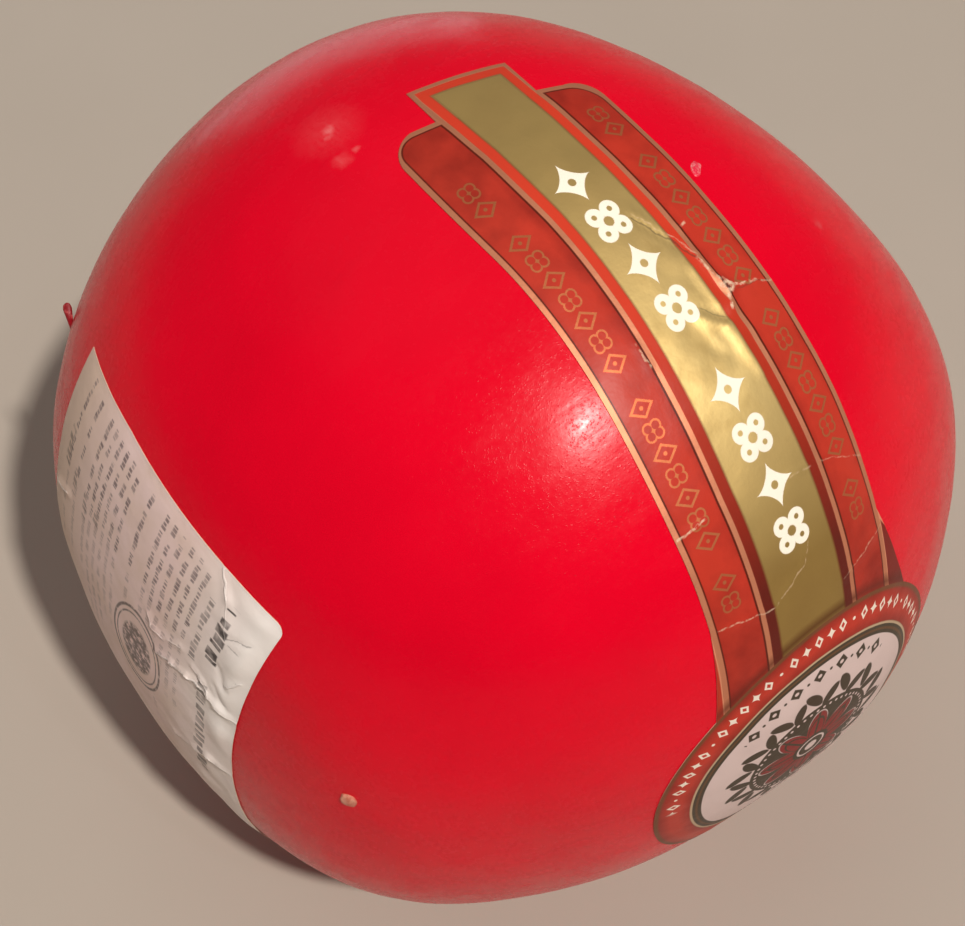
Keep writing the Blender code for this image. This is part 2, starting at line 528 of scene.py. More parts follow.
# %% Slices both ways, and the map of the flat sheet
def slice_paper(sheet):
    """Cuts the sheet at every step, so that it can bend both ways."""
    corners = [vertex.co.copy() for vertex in sheet.data.vertices]
    with editing(sheet):
        for axis in (0, 1):
            first = min(corner[axis] for corner in corners)
            last = max(corner[axis] for corner in corners)
            count = math.ceil((last - first) / PAPER_STEP)
            normal = Vector((axis == 0, axis == 1, 0))
            for number in range(1, count):
                place = normal * (first + (last - first) * number / count)
                bpy.ops.mesh.select_all(action="SELECT")
                bpy.ops.mesh.bisect(plane_co=place, plane_no=normal, threshold=0.001 * MM)


def map_paper(sheet):
    """Keeps each corner's place on the flat sheet in a UV map."""
    sheet_map = sheet.data.uv_layers.new(name="Flat")
    for corner in sheet.data.loops:
        flat = sheet.data.vertices[corner.vertex_index].co / MM
        sheet_map.data[corner.index].uv = [(part - MAP_START) / MAP_SPAN for part in flat.xy]


def flat_places(recipe):
    """In a shader, a point's place on the flat sheet in millimetres: its parts, and a vector."""
    flat = recipe.node("UVMap", {"uv_map": "Flat"})
    u, v = (
        recipe.node("SeparateXYZ", {}, {0: flat}, output=part) * MAP_SPAN + MAP_START
        for part in (0, 1)
    )
    return u, v, recipe.vector(u, v)


# %% From flat to round
PAPER_LIFT = 0.05 * MM
EDGE_HOLD = 0.2  # the share of its relief that the paper keeps at its glued edge
HOLD_WIDTH = 3.5  # millimetres in from the edge, where it keeps all of it
PAPER_THICKNESS = 0.11 * MM


def way_over(out, along, across, far, aside):
    """The way to a point of a sheet: this far along a great circle of the ball, and aside of it.

    The great circle starts out at the first way and runs along the second.
    """
    turn, tilt = far * MM / BALL_RADIUS, aside * MM / BALL_RADIUS
    ahead = math.cos(turn) * out + math.sin(turn) * along
    return math.cos(tilt) * ahead + math.sin(tilt) * across


def cut_edge(sheet):
    """The points of a flat sheet's edge, kept so that distances to them are quick to find."""
    used = Counter(key for face in sheet.data.polygons for key in face.edge_keys)
    rim = {corner for key, faces in used.items() if faces == 1 for corner in key}
    tree = KDTree(len(rim))
    for number, corner in enumerate(rim):
        tree.insert(sheet.data.vertices[corner].co, number)
    tree.balance()
    return tree


def lay_paper(sheet, way, relief):
    """Lays a flat sheet on the wax, each point in its way from the middle, plus its relief."""
    rim = cut_edge(sheet)
    for vertex in sheet.data.vertices:
        flat = vertex.co / MM
        direction = way(flat.x, flat.y)
        spot = on_wax(direction)[0]
        free = ease(rim.find(vertex.co)[2] / MM, 0, HOLD_WIDTH)
        held = EDGE_HOLD + (1 - EDGE_HOLD) * free
        vertex.co = spot + direction * (PAPER_LIFT + relief(flat.x, flat.y) * held * MM)
    with editing(sheet):
        bpy.ops.mesh.normals_make_consistent(inside=False)
    if sum(face.normal.dot(face.center - middle) for face in sheet.data.polygons) < 0:
        with editing(sheet):
            bpy.ops.mesh.flip_normals()


def thicken_paper(sheet):
    """Gives the sheet its thickness, with bare paper for its back and rim."""
    bare = {"material_offset": 1, "material_offset_rim": 1}
    modify(sheet, "SOLIDIFY", thickness=PAPER_THICKNESS, offset=1, **bare)
    pick_only(sheet)
    bpy.ops.object.shade_smooth_by_angle(angle=math.radians(50))


# %% [markdown]
# Creases matter twice: the paper stands up along them, and the print is worn off there,
# while a sharp fold's cleft gets a painted dark shade line and a ridge on the white sheet a
# painted pale highlight. So each crease is written down once, as a line on the flat sheet,
# and both the relief and the print read it. Wrinkles that have no clear line come from
# smooth noise instead.

# %% How a crease lifts the paper
def from_line(x, y, start, end):
    """How far a point lies from a line's nearest point."""
    here, along = Vector((x, y)) - Vector(start), Vector(end) - Vector(start)
    share = min(max(here.dot(along) / along.dot(along), 0), 1)
    return (here - along * share).length


def crease_relief(x, y, creases):
    """The height in millimetres that the creases give a point."""
    height = 0
    for start, end, width, lift, _ in creases:
        gap = from_line(x, y, start, end) / width
        height += lift * math.exp(-gap * gap) if gap < 4 else 0
    return height


def mound(x, y, spot):
    """1 in the middle of a spot, and less and less round it."""
    middle_x, middle_y, spread_x, spread_y = spot
    return math.exp(-(((x - middle_x) / spread_x) ** 2 + ((y - middle_y) / spread_y) ** 2))


def ripple(x, y, size, seed):
    """Smooth noise from about -1 to 1, with waves of this size."""
    return noise.noise(Vector((x / size, y / size, seed)))


def crease_lines(recipe, u, v, creases, sign):
    """A mask of fine lines along the creases whose wear has this sign.

    Wear above 0 is print that has rubbed off on the ribbon, and a painted highlight along a ridge
    on the white sheet; below 0 it is a painted shade line in the cleft of a sharp fold.
    """
    wobble = (recipe.grain(recipe.vector(u, v), 2.6, 3) - 0.5) * 1.3
    lines = []
    for start, end, _, _, wear_and_painted_light in creases:
        if wear_and_painted_light * sign <= 0:
            continue
        run = Vector(end) - Vector(start)
        half, away = run.length / 2, run.normalized()
        x, y = u - (start[0] + end[0]) / 2, v - (start[1] + end[1]) / 2
        along = abs(x * away.x + y * away.y).under(half, 0.5)
        across = abs(y * away.x - x * away.y + wobble)
        plain = min(0.3 + abs(wear_and_painted_light) * 0.6, 1)
        lines.append(along * across.under(0.08 + abs(wear_and_painted_light) * 0.16, 0.16) * plain)
    return reduce(larger, lines)


def worn_lines(recipe, u, v, creases):
    """Flecks of print rubbed off along the creases."""
    flecks = recipe.grain(recipe.vector(u, v), 0.9, 3)
    return crease_lines(recipe, u, v, creases, 1) * flecks.over(0.48, 0.2)


# %% [markdown]
# ## The ribbon label
# One piece of coated paper: a medallion, two short pennants, and an arm with two red bands
# and a longer gold strip between them. On the sheet, u runs along the arm from the
# medallion's middle, and v across it.

# %% Sizes of the ribbon label, in millimetres
MEDALLION_MIDDLE = (3.3, 0.2)
MEDALLION_RADIUS = 29.2
LOWER_SHARE = 0.87  # its lower half is stretched over the ball, and divided by this
ARM_MIDDLE = -1.65
ARM_HALF_WIDTH = 16.6
ARM_END = 124.0
ARM_CORNER = 4.5
STRIP_HALF_WIDTH = 8.7
STRIP_NARROWING = 1.0  # the strip tapers by this much on each side towards the arm's end
STRIP_TAPER = (82.0, 44.0)  # the middle and the length of the stretch where it tapers
STRIP_FLARE = (124.0, 14.0)  # and of the one at its end, where it widens a little
STRIP_LOW, STRIP_HIGH = -9.7, 6.1  # its edges where it stands out beyond the bands
STRIP_END = 131.6
END_SKEW = -0.26
PENNANT_START = 43.0
PENNANT_ANGLE = math.radians(43)
PENNANT_SLANT = math.radians(27)
ARC_STEP = math.radians(3)


def arc(centre, radius, start, end):
    """Points along an arc, both ends included."""
    steps = max(2, round(abs(end - start) / ARC_STEP))
    turns = [start + (end - start) * step / steps for step in range(steps + 1)]
    return [
        (centre[0] + radius * math.cos(turn), centre[1] + radius * math.sin(turn))
        for turn in turns
    ]


def ribbon_outline():
    """The medallion, the pennants, the bands' rounded ends and the longer strip."""
    low, high = ARM_MIDDLE - ARM_HALF_WIDTH, ARM_MIDDLE + ARM_HALF_WIDTH
    strip = (
        (ARM_END, STRIP_LOW),
        (STRIP_END, STRIP_LOW),
        (STRIP_END, STRIP_HIGH),
        (ARM_END, STRIP_HIGH),
    )
    quarter = math.pi / 2

    def corner(edge, start, end):
        return arc((ARM_END + END_SKEW * edge - ARM_CORNER, edge), ARM_CORNER, start, end)

    outline = arc((0, 0), MEDALLION_RADIUS, PENNANT_ANGLE, 2 * math.pi - PENNANT_ANGLE)
    outline = [(u if u > 0 else u / LOWER_SHARE, v) for u, v in outline]
    outline = [(MEDALLION_MIDDLE[0] + u, MEDALLION_MIDDLE[1] + v) for u, v in outline]
    outline += [(PENNANT_START, low)]
    outline += corner(low + ARM_CORNER, -quarter, 0)
    outline += [(end + END_SKEW * edge, edge) for end, edge in strip]
    outline += corner(high - ARM_CORNER, 0, quarter)
    outline += [(PENNANT_START, high)]
    return [(u * MM, v * MM) for u, v in outline]


ribbon = cut_paper("ribbon_paper", ribbon_outline())
slice_paper(ribbon)
map_paper(ribbon)
tell(ribbon)

# %% [markdown]
# A flat strip can't lie on a ball without crowding somewhere. Along its arm the paper is
# therefore pinched a little narrower and moved aside, and its loose end veers off.

# %% The ribbon's way over the ball
RIBBON_TURN = math.radians(-1.7)
RIBBON_LIFT = math.radians(1.0)
RIBBON_LEAN = math.radians(5.2)
PINCH_START, PINCH_END = 58.0, 104.0  # along the arm, where the paper crowds together
PINCH = 0.075
ARM_SHIFT = 0.9  # how far the arm moves aside there
VEER_START, VEER = 106.0, 2.3  # the loose end veers this far sideways
END_SPAN = (82.0, 120.0)  # where it widens again and moves back towards its end
END_WIDENING, END_SHIFT = 0.025, 0.35

to_medallion = Vector((
    math.sin(RIBBON_TURN),
    -math.cos(RIBBON_TURN) * math.cos(RIBBON_LIFT),
    math.cos(RIBBON_TURN) * math.sin(RIBBON_LIFT),
))
upward = (Vector((0, 0, 1)) - to_medallion * to_medallion.z).normalized()
along_arm = math.cos(RIBBON_LEAN) * upward + math.sin(RIBBON_LEAN) * upward.cross(to_medallion)
across_arm = along_arm.cross(to_medallion)


def on_ribbon(u, v):
    """The way from the middle to a point of the ribbon label."""
    pinched = ease(u, PINCH_START, PINCH_END)
    narrow = 1 - PINCH * pinched + END_WIDENING * ease(u, *END_SPAN)
    veer = VEER * max((u - VEER_START) / (STRIP_END - VEER_START), 0) ** 2
    shift = ARM_SHIFT * pinched - END_SHIFT * ease(u, *END_SPAN) + veer
    sideways = ARM_MIDDLE + (v - ARM_MIDDLE) * narrow + shift
    return way_over(to_medallion, along_arm, across_arm, u, sideways)


# %% The ribbon's creases: start, end, width, lift and wear, in millimetres; a wear below 0 gives a painted shade line in the fold
RIBBON_CREASES = (
    ((98.2, 1.4), (88.7, 5.9), 0.4, -0.16, -0.4),
    ((98.4, 2.0), (89.0, 6.4), 0.4, 0.16, 0.15),
    ((88.7, 5.9), (83.2, 7.3), 0.6, 0.3, 0.9),
    ((83.2, 7.3), (80.5, 5.8), 0.7, 0.32, 1.0),
    ((84.4, 7.0), (82.6, 7.8), 0.7, 0.2, 3.4),
    ((83.1, 7.7), (81.7, 12.0), 0.5, 0.25, 0.8),
    ((82.2, 8.6), (81.1, 14.6), 0.35, -0.1, -0.12),
    ((81.7, 12.0), (80.8, 15.0), 0.5, 0.2, 0.5),
    ((93.5, 7.2), (93.7, 8.6), 0.5, 0.1, 0.6),
    ((87.7, 4.2), (82.1, 4.6), 0.8, 0.22, 0.0),
    ((82.0, 0.5), (78.7, 3.6), 0.7, 0.34, 0.0),
    ((82.8, 1.2), (79.9, 4.2), 0.5, -0.2, -0.2),
    ((81.3, -1.5), (76.8, 0.3), 0.7, -0.3, 0.0),
    ((78.8, 3.8), (71.5, 4.6), 0.9, 0.26, 0.0),
    ((83.8, -10.0), (80.2, -10.0), 0.6, 0.12, 0.5),
    ((58.5, -18.2), (58.9, -13.2), 0.5, 0.14, 0.7),
    ((42.7, -17.6), (41.0, -7.9), 0.5, 0.16, 0.3),
    ((41.0, -7.3), (44.4, -1.4), 0.4, 0.1, 0.2),
    ((44.4, -1.4), (47.1, 0.4), 0.4, 0.08, 0.15),
    ((56.2, 7.2), (51.8, 15.8), 0.5, 0.1, 0.08),
    ((57.2, 1.0), (56.6, 5.0), 0.6, 0.12, 0.1),
    ((37.2, 5.0), (40.2, 14.9), 0.5, 0.12, 0.15),
    ((37.0, -4.0), (36.4, 3.2), 0.6, 0.08, 0.0),
)
TORN_SPOT = (81.0, 2.5, 9.0, 6.5)  # its middle, and how far it spreads both ways


def ribbon_relief(u, v):
    """Creases, wrinkles round the torn spot, and a slight unevenness all over."""
    wrinkles = 0.34 * mound(u, v, TORN_SPOT) * ripple(u, v, 3.4, 5.0)
    even = 0.16 + 0.13 * ripple(u, v, 13.0, 1.0) + 0.04 * ripple(u, v, 4.5, 8.0)
    return max(crease_relief(u, v, RIBBON_CREASES) + wrinkles + even, 0)


lay_paper(ribbon, on_ribbon, ribbon_relief)
tell(ribbon)

# %% [markdown]
# The print is drawn in the shader from the map of the flat sheet. Each field is a distance
# compared with a number. Gold ink is metal flakes in varnish, so it is part metal: dull
# olive where it mirrors the dim room, and bright near the lamp. Towards both ends of the
# strip the gold is also painted darker, a painted shade.

# %% Inks
CREAM = tint(255, 246, 228)
GOLD = tint(228, 198, 132)
# A darker gold, for random dull patches and for the painted shade towards both ends of the strip.
GOLD_DULL_SHADE = tint(168, 136, 76)
GOLD_LINE = tint(218, 142, 108)
GOLD_MARK = tint(192, 118, 76)
DARK_LINE = tint(92, 30, 17)
BAND_RED = tint(194, 56, 40)
BAND_DEEP = tint(126, 30, 22)
STRIPE_RED = tint(208, 62, 40)
STRIPE_BROWN = tint(98, 30, 21)
PENNANT_RED = tint(184, 54, 34)
RING_EDGE = tint(112, 74, 44)
PALE_LINE = tint(196, 168, 136)
OLIVE = tint(70, 58, 44)
DISC_WHITE = tint(224, 199, 194)
CREST_RED = tint(140, 42, 40)
BARE_PAPER = tint(232, 200, 170)
PRINT_SOFT = 0.14  # millimetres over which one ink gives way to the next


# %% Small shapes to print
def lozenge(x, y, half_x, half_y):
    """How far a point lies outside a lozenge, in shares of its size."""
    return abs(x) / half_x + abs(y) / half_y - 1


def star(x, y, half_x, half_y, power):
    """How far out a point lies in a four-pointed star, which is 1 at its edge."""
    return (abs(x) / half_x).math("POWER", power) + (abs(y) / half_y).math("POWER", power)


def four_rounds(x, y, aside, radius):
    """How far a point lies outside four rounds, each this far to both sides of the middle."""
    return length(abs(x) - aside[0], abs(y) - aside[1]) - radius


def repeat(value, period):
    """The number of the repeat that a value lies in, and its place from the repeat's middle."""
    turns = value / period
    number = turns.math("FLOOR")
    return number, (turns - number - 0.5) * period


def every(number, count):
    """The place of a whole number in its group of this many."""
    return number - (number / count).math("FLOOR") * count


def odd(number):
    """1 for an odd whole number, and 0 for an even one."""
    return every(number, 2).over(0.5, 0.1)


# %% [markdown]
# The medallion is a red ring with small marks, fine lines, and a white disc with a rosette
# in a wreath of leaves. All of it repeats round a middle, so the angle is cut into equal
# turns, and one mark, leaf or bead is drawn in each turn.

# %% The medallion's print
RING_INNER = 22.95  # the red ring runs from here out to its olive edge
LINE_RADIUS = 22.75  # the fine cream line inside the ring
DISC_RADIUS = 20.9  # the white disc, inside an olive band
RING_DARK_OUTER = (27.6, 2.4)  # the middle and width of the zone where the red darkens
RING_DARK_INNER = (24.0, 2.0)
MARKS_ROUND = 66
MARK_RADIUS = 26.2
MARKS_START = -2.5  # the ring has marks only above this height
MOTIFS = 7
MOTIF_TURN = math.radians(14.0)
MOTIF_RADIUS = 18.7
CREST_MIDDLE = 1.9  # the rosette's middle lies this far up the sheet
WREATH_RADIUS = 14.0
LEAVES_ROUND = 28
WREATH_OUTER = 17.4  # no leaf reaches further out
FIELD_RADIUS = 11.9
BEADS_ROUND = 52
BEAD_RADIUS = 10.9
PETAL_START, PETAL_LENGTH = 4.8, 5.2
HEART_RADIUS = 3.6


def ring_print(recipe, radius, turn):
    """Groups of small pale marks round the red ring: lozenges and stars by turns, then a dot."""
    number, place = repeat(turn + math.pi, 2 * math.pi / MARKS_ROUND)
    place = place * MARK_RADIUS
    rise = radius - MARK_RADIUS
    gem = lozenge(place, rise, 0.85, 1.25).under(0, 0.16)
    gem = gem * lozenge(place, rise, 0.4, 0.6).over(0, 0.3)
    small_star = star(place, rise, 1.05, 1.25, 0.6).under(1, 0.08)
    dot = length(place, rise).under(0.3, PRINT_SOFT)
    marks = recipe.choose(gem, small_star, odd(number))
    return recipe.choose(marks, dot, every(number, 6).over(4.5, 0.1))


def motif_print(recipe, radius, turn):
    """Seven small lozenges with dots between them, in an arc on the white disc."""
    number, place = repeat(turn + MOTIF_TURN * (MOTIFS / 2 + 0.25), MOTIF_TURN)
    shown = number.between(-0.5, MOTIFS - 0.5, 0.1)
    x, y = place * MOTIF_RADIUS, radius - MOTIF_RADIUS
    gem = lozenge(x, y, 1.3, 1.5).under(0, 0.12) * length(x, y).over(0.4, PRINT_SOFT)
    dots = length(abs(x) - 2.3, y).under(0.32, PRINT_SOFT)
    return shown * larger(gem, dots)


def crest_print(recipe, radius, turn):
    """A rosette on a dark round in a leaf wreath: masks of its olive, red and pale parts."""
    number, place = repeat(turn + math.pi, 2 * math.pi / LEAVES_ROUND)
    lean = every(number, 2) * 2 - 1
    x, y = place * WREATH_RADIUS, radius - WREATH_RADIUS - lean * 0.5
    leaf = length((x + y * lean * 0.5) / 1.2, y / 2.2).under(1, 0.14)
    round_field = radius.under(FIELD_RADIUS, PRINT_SOFT)
    petal = (turn * 4).math("COSINE").math("ABSOLUTE")
    edge = radius - (PETAL_START + petal * PETAL_LENGTH)
    red = edge.under(0, PRINT_SOFT)
    inner_lines = abs(edge + 1.6).under(0.32, PRINT_SOFT)
    ribs = ((turn * 4).math("SINE").math("ABSOLUTE") * radius).under(0.9, 0.3)
    heart = radius.under(HEART_RADIUS, PRINT_SOFT)
    olive = larger(leaf, round_field) * (1 - red)
    olive = larger(olive, larger(heart, larger(inner_lines, ribs) * red))
    _, bead_place = repeat(turn + math.pi, 2 * math.pi / BEADS_ROUND)
    beads = length(bead_place * BEAD_RADIUS, radius - BEAD_RADIUS).under(0.28, PRINT_SOFT)
    rim = abs(edge - 0.25).under(0.16, 0.12) * petal.over(0.45, 0.2)
    heart_rings = larger(radius.under(1.2, 0.2), abs(radius - 2.6).under(0.2, 0.15))
    pale = larger(larger(beads, rim * 0.8), heart_rings)
    return olive * radius.under(WREATH_OUTER, 0.2), red, pale


def medallion_print(recipe, u, v, mottle):
    """The medallion's colour, and how far a point lies from its middle."""
    x, y = u - MEDALLION_MIDDLE[0], v - MEDALLION_MIDDLE[1]
    x = larger(x, 0) + smaller(x, 0) * LOWER_SHARE
    radius, turn = length(x, y), y.math("ARCTAN2", x)
    fade = larger(radius.over(*RING_DARK_OUTER), radius.under(*RING_DARK_INNER) * 0.8)
    ring = recipe.paint(BAND_RED, BAND_DEEP, fade * 0.8 + (mottle - 0.5) * 0.9)
    marks = ring_print(recipe, radius, turn) * x.over(MARKS_START, 1.0)
    ring = recipe.paint(ring, CREAM, marks * 0.85)
    crest_x = u - CREST_MIDDLE
    crest = crest_print(recipe, length(crest_x, y), y.math("ARCTAN2", crest_x))
    colour = recipe.layers(
        DISC_WHITE,
        (OLIVE, motif_print(recipe, radius, turn)),
        (CREST_RED, crest[1]),
        (OLIVE, crest[0]),
        (DISC_WHITE, crest[2]),
        (OLIVE, radius.over(DISC_RADIUS, PRINT_SOFT)),
        (RING_EDGE, abs(radius - DISC_RADIUS - 0.85).under(0.2, 0.2) * 0.8),
        (PALE_LINE, abs(radius - LINE_RADIUS).under(0.24, PRINT_SOFT)),
        (ring, radius.over(RING_INNER, 0.3)),
        (RING_EDGE, radius.over(MEDALLION_RADIUS - 0.75, 0.5) * 0.85),
    )
    return colour, radius


# %% [markdown]
# Along the arm the pattern repeats in steps instead. Rosettes and stars take turns on the
# gold, small lozenges and rosettes on the red, and a mark's number says which it is.

# %% The arm's print
GROUP_STARTS = (46.5, 81.0)
MARK_PITCH = 7.3
MARK_LENGTH, MARK_HEIGHT = 3.45, 3.3
LOBE_ASIDE, LOBE_RADIUS = (1.35, 1.35), 1.45
EYE_ASIDE, EYE_RADIUS = (1.45, 1.45), 0.4  # each lobe's gold eye
BAND_PITCH = 3.4
BAND_LOBE_ASIDE, BAND_LOBE_RADIUS = (0.55, 0.62), 0.72
BAND_MIDDLE = 12.4  # how far the middle of a red band lies from the middle of the arm


def strip_ornaments(recipe, u, v):
    """Two groups of four cream ornaments: four-lobed rosettes and four-pointed stars by turns."""
    groups = []
    for start in GROUP_STARTS:
        number, x = repeat(u - start, MARK_PITCH)
        y = v - ARM_MIDDLE
        lobes = four_rounds(x, y, LOBE_ASIDE, LOBE_RADIUS).under(0, PRINT_SOFT)
        eyes = four_rounds(x, y, EYE_ASIDE, EYE_RADIUS).under(0, PRINT_SOFT)
        rosette = lobes * length(x, y).over(0.75, PRINT_SOFT) * (1 - eyes)
        points = star(x, y, MARK_LENGTH, MARK_HEIGHT, 0.68).under(1, 0.05)
        points = points * length(x, y).over(0.6, PRINT_SOFT)
        mark = recipe.choose(rosette, points, odd(number))
        groups.append(mark * number.between(-0.5, 3.5, 0.1))
    return reduce(larger, groups)


def band_ornaments(recipe, u, from_middle):
    """Small outlined lozenges and four-lobed rosettes by turns along a red band, in groups."""
    number, x = repeat(u, BAND_PITCH)
    gem = abs(lozenge(x, from_middle, 1.3, 1.75)).under(0.16, 0.1)
    gem = larger(gem, length(x, from_middle).under(0.28, 0.14))
    lobes = four_rounds(x, from_middle, BAND_LOBE_ASIDE, BAND_LOBE_RADIUS)
    lobes = larger(abs(lobes).under(0.14, 0.12), length(x, from_middle).under(0.22, 0.14))
    mark = recipe.choose(gem, lobes, odd(number))
    return mark * every(number, 8).under(6.5, 0.1) * number.between(12.5, 33.5, 0.1)


# %% How far in from the cut edges
def arm_edges(u, v):
    """Distances in from two edges: the bands', with their round corners, and the strip's."""
    slant = math.cos(math.atan(END_SKEW))
    side = ARM_HALF_WIDTH - abs(v - ARM_MIDDLE)
    end = (ARM_END + v * END_SKEW - u) * slant
    near_side, near_end = larger(ARM_CORNER - side, 0), larger(ARM_CORNER - end, 0)
    inward = smaller(ARM_CORNER - length(near_side, near_end), smaller(side, end))
    taper, flare = u.over(*STRIP_TAPER), u.over(*STRIP_FLARE)
    strip_half = STRIP_HALF_WIDTH - taper * STRIP_NARROWING + flare * 0.2
    off_strip = abs(v - ARM_MIDDLE - taper * 0.6 + flare * 0.75)
    strip_end = (STRIP_END + v * END_SKEW - u) * slant
    return inward, smaller(strip_half - off_strip, strip_end)


# %% [markdown]
# The whole print is laid down ink by ink, as a press does it: the red of the bands first,
# then the lines, the gold and the cream, the pennants, the medallion, what wore off, and a
# painted shade line in the sharp folds.

# %% The whole ribbon's print
OUTLINE_WIDTH = 0.8  # the gold line along a band's edge
DARK_WIDTH = 0.26  # the dark line inside it
STRIP_LINE = 0.75  # the gold line along the strip's edge
STRIP_GOLD = 2.4  # the gold field starts this far in, after a red stripe
MEDALLION_SHADE = 1.6  # the dark haze that the medallion's edge has on the arm
# Zones where one ink gives way to another: the middle of each, and its width.
BAND_SIDES, BAND_START, BAND_END = (3.4, 2.0), (42.0, 26.0), (108.0, 32.0)
STRIPE_CHANGE = (66.0, 44.0)
# Where the gold is painted darker towards each end of the strip: a painted shade away from where
# the lamp gleams on it.
GOLD_SHADE_START, GOLD_SHADE_END = (58.0, 26.0), (92.0, 30.0)


def ribbon_print():
    recipe = Recipe("Ribbon print", Specular_IOR_Level=0.16)
    u, v, places = flat_places(recipe)
    off_middle = abs(v - ARM_MIDDLE)
    inward, strip_inward = arm_edges(u, v)

    # The red bands, darker along both edges and towards the medallion.
    mottle = recipe.grain(places, 5.0, 4)
    from_band = off_middle - BAND_MIDDLE
    fade = larger(abs(from_band).over(*BAND_SIDES) * 0.6, u.under(*BAND_START) * 0.8)
    fade = larger(fade, u.over(*BAND_END) * 0.7)
    red = recipe.paint(BAND_RED, BAND_DEEP, fade * 0.8 + (mottle - 0.5) * 1.2)
    marks = band_ornaments(recipe, u, from_band)
    outline = inward.under(OUTLINE_WIDTH, PRINT_SOFT)
    dark = inward.between(OUTLINE_WIDTH, OUTLINE_WIDTH + DARK_WIDTH, PRINT_SOFT)

    # The gold strip between its stripes and lines, with random dull patches, and painted darker
    # towards both ends as a painted shade away from the lamp's gleam.
    line = strip_inward.between(-0.02, STRIP_LINE, PRINT_SOFT)
    dark = larger(dark, strip_inward.between(-0.36, 0, PRINT_SOFT))
    stripe_ink = recipe.paint(STRIPE_BROWN, STRIPE_RED, u.over(*STRIPE_CHANGE))
    gold = strip_inward.over(STRIP_GOLD, 0.3)
    dull_and_shade = larger(mottle.over(0.56, 0.3) * 0.5, u.under(*GOLD_SHADE_START))
    dull_and_shade = larger(dull_and_shade, u.over(*GOLD_SHADE_END) * 0.6)
    cream = strip_ornaments(recipe, u, v)
    metal = larger(marks, outline * strip_inward.under(0, 0.1))
    metal = larger(metal, larger(gold, line)) * (1 - cream)

    # Pennants beside the arm, with a thin gold edge.
    beyond = off_middle - ARM_HALF_WIDTH
    pennant = beyond.over(0, PRINT_SOFT)
    reach = (PENNANT_START - u) * math.sin(PENNANT_SLANT) - beyond * math.cos(PENNANT_SLANT)
    pennant_edge = larger(reach.under(0.75, PRINT_SOFT), beyond.under(0.25, PRINT_SOFT))
    pennant_ink = recipe.paint(PENNANT_RED, BAND_DEEP, v.over(0, 4))

    # The medallion over everything, a slight soiling and wear over that, and a painted shade line
    # in the sharp folds.
    disc, radius = medallion_print(recipe, u, v, mottle)
    medallion = radius.under(MEDALLION_RADIUS, PRINT_SOFT)
    shade_end = MEDALLION_RADIUS + MEDALLION_SHADE
    shade = radius.between(MEDALLION_RADIUS, shade_end, MEDALLION_SHADE) * u.over(20, 6)
    soil = recipe.grain(places, 11.0, 5).over(0.62, 0.3)
    worn = worn_lines(recipe, u, v, RIBBON_CREASES)
    # Painted shade: a dark line in the cleft of each sharp fold.
    fold_shade = crease_lines(recipe, u, v, RIBBON_CREASES, -1)
    metal = metal * (1 - medallion) * (1 - pennant) * (1 - larger(worn, fold_shade))

    colour = recipe.layers(
        red,
        (GOLD_MARK, marks * 0.85),
        (DARK_LINE, dark),
        (GOLD_LINE, outline),
        (stripe_ink, strip_inward.between(STRIP_LINE, STRIP_GOLD, PRINT_SOFT)),
        (recipe.paint(GOLD, GOLD_DULL_SHADE, dull_and_shade), gold),
        (DARK_LINE, strip_inward.between(2.25, 2.6, 0.3) * 0.4),
        (GOLD_LINE, line),
        (CREAM, cream),
        (pennant_ink, pennant),
        (GOLD_LINE, pennant_edge * pennant),
        (DARK_LINE, shade * 0.7),
        (disc, medallion),
        (DARK_LINE, soil * 0.1),
        (BARE_PAPER, worn),
        (OLIVE, fold_shade),
    )
    fibres = recipe.bump(recipe.grain(places, 0.5, 3), 0.016 * MM)
    normal = recipe.bump(recipe.grain(places, 4.0, 2), 0.16 * MM, 0.5, fibres)
    rough = 0.4 + (mottle - 0.5) * 0.2 + worn * 0.25 + metal * 0.14
    return recipe.finish(Base_Color=colour, Metallic=metal * 0.62, Roughness=rough, Normal=normal)


# %% Bare paper for the back and the rim, then the ribbon is finished
def bare_paper():
    recipe = Recipe("Bare paper", Roughness=0.75)
    fibres = recipe.grain(recipe.object_places(), 0.6 * MM, 4)
    colour = recipe.paint(BARE_PAPER, tint(196, 176, 158), fibres.over(0.5, 0.5))
    return recipe.finish(Base_Color=colour, Normal=recipe.bump(fibres, 0.02 * MM))


paper_back = bare_paper()
ribbon.data.materials.append(ribbon_print())
ribbon.data.materials.append(paper_back)
thicken_paper(ribbon)
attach(ribbon, "root")
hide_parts("ribbon_label")
tell(ribbon)

# %% [markdown]
# ## The ingredients label
# A plain white sheet, stuck round the -X end with its long side upright. It's thinner and
# worse stuck than the ribbon: it has sharp creases where the end curves away, and it bulges
# off the wax beside its worn corner. It's laid in the same way as the ribbon.

# %% Sizes of the ingredients label, in millimetres
SHEET_WIDTH = 56.0
SHEET_HEIGHT = 84.0
SHEET_CORNER = 1.8
SHORT_CORNER = 1.6  # the other upper corner lies this much lower


def sheet_outline():
    """A rectangle with one round, worn corner, and one that is cut a little short."""
    wide, high = SHEET_WIDTH / 2, SHEET_HEIGHT / 2
    corners = [(-wide / 3, high), (-wide + 0.3, high - SHORT_CORNER)]
    corners += [(-wide, -high), (wide, -high)]
    corners += arc((wide - SHEET_CORNER, high - SHEET_CORNER), SHEET_CORNER, 0, math.pi / 2)
    return [(x * MM, y * MM) for x, y in corners]


# %% The sheet's way over the ball
SHEET_SIDE = math.radians(11.86)
SHEET_LIFT = math.radians(6.04)
SHEET_ROLL = math.radians(2.4)

